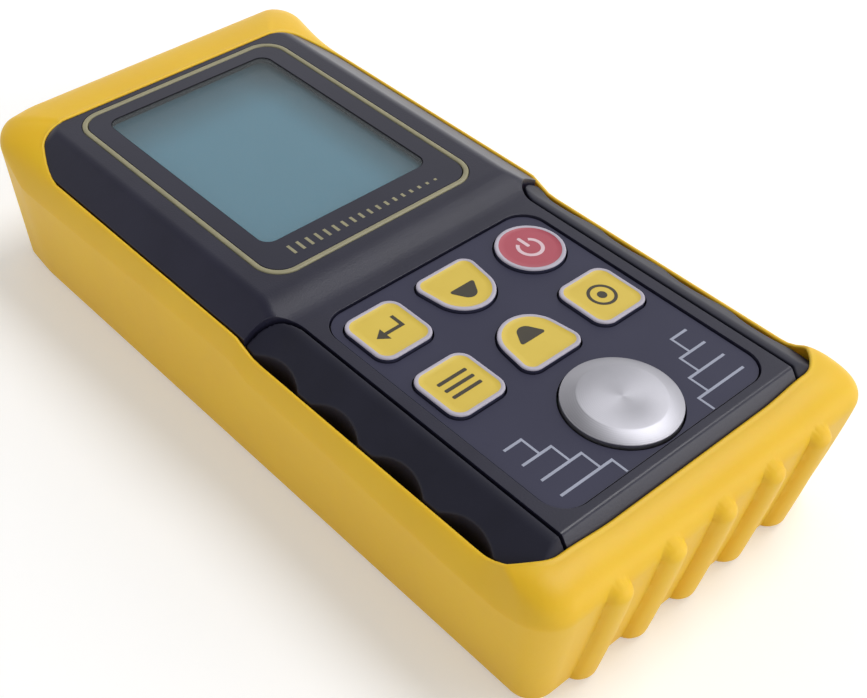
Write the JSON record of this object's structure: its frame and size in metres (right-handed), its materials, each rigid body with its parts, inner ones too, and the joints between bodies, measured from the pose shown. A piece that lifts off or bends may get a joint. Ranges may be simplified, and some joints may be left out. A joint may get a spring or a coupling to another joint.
{
  "type": "ultrasonic thickness gauge",
  "caption": "Handheld ultrasonic thickness gauge with a display window, soft keys, a steel test disc and side grips, in a ribbed soft boot with an opening for the probe sockets.",
  "frame": {"origin": "middle of the boot's underside, with the gauge lying on its back", "axes": "+X across the width, +Y from the test disc towards the probe sockets, +Z out of the face"},
  "size_m": [0.0786, 0.1582, 0.0322],
  "materials": {
    "boot_rubber": "satin",
    "housing_plastic": "fine texture",
    "grip_rubber": "matte",
    "lens": "clear",
    "trim": "satin",
    "display": "satin",
    "diffuser": "matte",
    "panel": "matte film",
    "key_yellow": "satin",
    "key_red": "satin",
    "steel": "turned",
    "socket_metal": "plated",
    "insulator": "matte",
    "board": "solder mask",
    "cell": "satin",
    "spring_metal": "plated"
  },
  "bodies": {
    "gauge": {"boot": "boot_rubber", "front_housing": "housing_plastic", "rear_housing": "housing_plastic", "left_grip": "grip_rubber", "right_grip": "grip_rubber", "window_lens": "lens", "window_trim": "trim", "display_glass": "display", "display_backlight": "diffuser", "display_holder": "diffuser", "keypad_panel": "panel", "key_domes": "spring_metal", "calibration_disc": "steel", "main_board": "board", "left_socket": "socket_metal", "right_socket": "socket_metal", "socket_nuts": "socket_metal", "socket_cores": "insulator", "battery_door": "housing_plastic", "door_screw": "steel", "battery_cells": "cell", "battery_contacts": "spring_metal", "housing_screws": "steel", "board_screws": "steel"},
    "enter_button": {"enter_key": "key_yellow"},
    "down_button": {"down_key": "key_yellow"},
    "power_button": {"power_key": "key_red"},
    "memory_button": {"memory_key": "key_yellow"},
    "up_button": {"up_key": "key_yellow"},
    "calibration_button": {"calibration_key": "key_yellow"}
  },
  "joints": [
    {"name": "enter_press", "type": "slide", "parent": "gauge", "child": "enter_button", "axis": [0, 0, -1], "range_m": [0, 0.0005], "stiffness_N_per_m": 800},
    {"name": "down_press", "type": "slide", "parent": "gauge", "child": "down_button", "axis": [0, 0, -1], "range_m": [0, 0.0005], "stiffness_N_per_m": 800},
    {"name": "power_press", "type": "slide", "parent": "gauge", "child": "power_button", "axis": [0, 0, -1], "range_m": [0, 0.0005], "stiffness_N_per_m": 800},
    {"name": "memory_press", "type": "slide", "parent": "gauge", "child": "memory_button", "axis": [0, 0, -1], "range_m": [0, 0.0005], "stiffness_N_per_m": 800},
    {"name": "up_press", "type": "slide", "parent": "gauge", "child": "up_button", "axis": [0, 0, -1], "range_m": [0, 0.0005], "stiffness_N_per_m": 800},
    {"name": "calibration_press", "type": "slide", "parent": "gauge", "child": "calibration_button", "axis": [0, 0, -1], "range_m": [0, 0.0005], "stiffness_N_per_m": 800}
  ]
}
